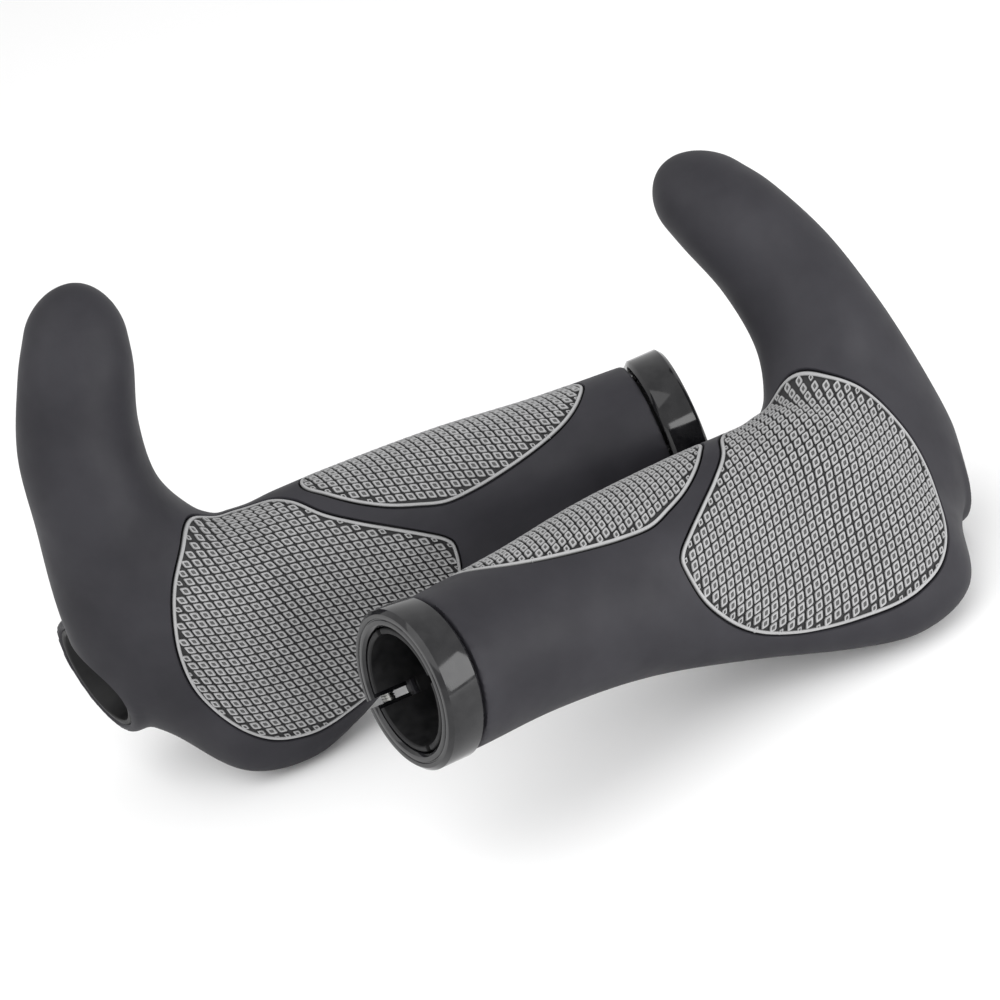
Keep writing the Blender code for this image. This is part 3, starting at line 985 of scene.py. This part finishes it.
def makeWasher():
    c = clampShape
    y0 = c["seatY"] + c["fit"]
    y1 = y0 + c["washerThick"]
    o, i = c["washerRadius"], c["washerHole"]
    rings = lathe([(y0, i), (y0, o - 0.1), (y0 + 0.1, o), (y1 - 0.1, o), (y1, o - 0.1), (y1, i)], 64)
    verts = [p for ring in rings for p in ring]
    washer = linkObject("washer", meshFrom("washer", verts, ringFaces(6, 64, closed=True)))
    gap = block("gap", (c["boltX"] - 0.3, y0 - 1, c["boltZ"]), (c["boltX"] + 0.3, y1 + 1, c["boltZ"] + 4))
    cut(washer, gap)
    return bevelEdges(washer, 0.06)


def makeBolt():
    c = clampShape
    seat = c["seatY"] + c["fit"] + c["washerThick"] + c["fit"]
    top = seat + c["headHeight"]
    count, perTurn = 24, 8
    x, z = c["boltX"], c["boltZ"]
    step = c["threadPitch"] / perTurn
    rows = round((seat + 0.4 - c["boltTip"]) / step)
    rings = []
    for n in range(rows + 1):
        y = c["boltTip"] + n * step
        taper = min(1.0, 0.35 + n / (perTurn * 1.2))   # the first thread fades in
        ring = []
        for k in range(count):
            phase = (n / perTurn - k / count) % 1
            crest = 1 - abs(2 * phase - 1)
            radius = c["threadRoot"] + (c["threadCrest"] - c["threadRoot"]) * crest * taper
            turn = 2 * math.pi * k / count
            ring.append((x + radius * math.cos(turn), y, z + radius * math.sin(turn)))
        rings.append(ring)
    shank = loft("boltShank", rings)
    r = c["headRadius"]
    head = loft("boltHead", lathe([(seat, r - 0.12), (seat + 0.12, r), (top - 0.3, r),
                                   (top - 0.08, r - 0.12), (top, r - 0.3)], 64))
    key = rod("key", c["keyAcross"] / math.sqrt(3), (x, top - c["keyDepth"], z), (x, top + 1, z), 6)
    cut(head, key)
    cut(shank, head, "UNION")
    return shank


parts["clamp_ring"] = makeRing()
parts["core_sleeve"] = makeSleeve()
parts["lock_washer"] = makeWasher()
parts["clamp_bolt"] = makeBolt()
print("clamp made")


# Both grips take their pieces from the same meshes
pieceTable = {
    "rubber_body": ("rubber", "smooth_rubber", "grip", 40),
    "palm_inlay": ("inlay", "textured_inlay", "grip", 30),
    "finger_inlay": ("inlay", "textured_inlay", "grip", 30),
    "core_sleeve": ("nylon", "filled_nylon", "grip", 35),
    "clamp_ring": ("ring", "black_ring", "clamp", 35),
    "lock_washer": ("steel", "zinc_steel", "washer", 35),
    "clamp_bolt": ("steel", "zinc_steel", "bolt", 50),
}


def placeMatrix(side):
    origin, turn = places[side]
    spin = Euler([math.radians(a) for a in turn]).to_matrix().to_4x4()
    return Matrix.Translation(Vector(origin) * mm) @ spin


for side in ("right", "left"):
    for name, (finish, slotName, body, sharpAngle) in pieceTable.items():
        mesh = parts[name].data.copy()
        if side == "left":
            mesh.transform(Matrix.Diagonal((-1, 1, 1, 1)))
            mesh.flip_normals()
        mesh.transform(placeMatrix(side))
        mesh.materials.clear()
        mesh.materials.append(finishes[finish])
        mesh.shade_smooth()
        mesh.set_sharp_from_angle(angle=math.radians(sharpAngle))
        piece = linkObject(side + "_" + name + "_shape", mesh)
        mesh.name = piece.name
        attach(piece, side + "_" + body)
        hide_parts(side + "_" + name)
    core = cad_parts[side + "_horn_core"]
    core.data.materials.clear()
    core.data.materials.append(finishes["nylon"])
    core.data.shade_smooth()
for thing in parts.values():
    dropObject(thing)
print("both grips placed")


# Stage, lights and camera
studio = {
    "floorColor": (0.92, 0.92, 0.92),
    "world": 0.92,
    "keyPower": 7.0,
    "keySize": 1.3,
    "keyAt": (-0.55, -0.35, 1.05),
    "cards": [(1.5, 0.34, (0.45, -0.36, 0.2)), (1.0, 0.26, (0.14, -0.53, 0.155))],
    "cameraAt": (-0.0386, -0.4055, 0.2530),
    "cameraTurn": (62.36, 17.15, -14.29),
    "lens": 81.18,
    "aim": (0.0, 0.0, 0.045),
}


def areaLight(name, power, size, at, aim):
    data = bpy.data.lights.new(name, "AREA")
    data.energy = power
    data.size = size
    lamp = linkObject(name, data)
    lamp.location = at
    lamp.rotation_euler = (Vector(at) - Vector(aim)).to_track_quat("Z", "Y").to_euler()
    return lamp


def setStage():
    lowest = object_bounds()[0][2]
    bm = bmesh.new()
    bmesh.ops.create_grid(bm, x_segments=4, y_segments=4, size=4.0)
    bmesh.ops.translate(bm, verts=bm.verts, vec=(0, 0, lowest - 0.0001))
    mesh = bpy.data.meshes.new("floor")
    bm.to_mesh(mesh)
    bm.free()
    floor = linkObject("floor", mesh)
    mat, nodes, links, shader, where = newFinish("pale floor")
    dust = noiseNode(nodes, links, where, 3.0, 2.0)
    pale = studio["floorColor"]
    links.new(rampNode(nodes, links, dust, [(0.3, tuple(c * 0.995 for c in pale)), (0.7, pale)]),
              shader.inputs["Base Color"])
    shader.inputs["Roughness"].default_value = 0.9
    shader.inputs["Specular IOR Level"].default_value = 0.1
    mesh.materials.append(mat)
    world = bpy.data.worlds.new("studio")
    world.use_nodes = True
    world.node_tree.nodes["Background"].inputs["Color"].default_value = (1, 1, 1, 1)
    world.node_tree.nodes["Background"].inputs["Strength"].default_value = studio["world"]
    bpy.context.scene.world = world
    areaLight("key", studio["keyPower"], studio["keySize"], studio["keyAt"], studio["aim"])
    for power, size, at in studio["cards"]:   # one for each ring to mirror
        areaLight("card", power, size, at, studio["aim"])


def setCamera():
    data = bpy.data.cameras.new("camera")
    data.lens = studio["lens"]
    data.sensor_width = 36.0
    camera = linkObject("camera", data)
    camera.location = studio["cameraAt"]
    camera.rotation_euler = [math.radians(a) for a in studio["cameraTurn"]]
    bpy.context.scene.camera = camera
    bpy.context.scene.view_settings.view_transform = "Standard"


setStage()
setCamera()
print("stage set")
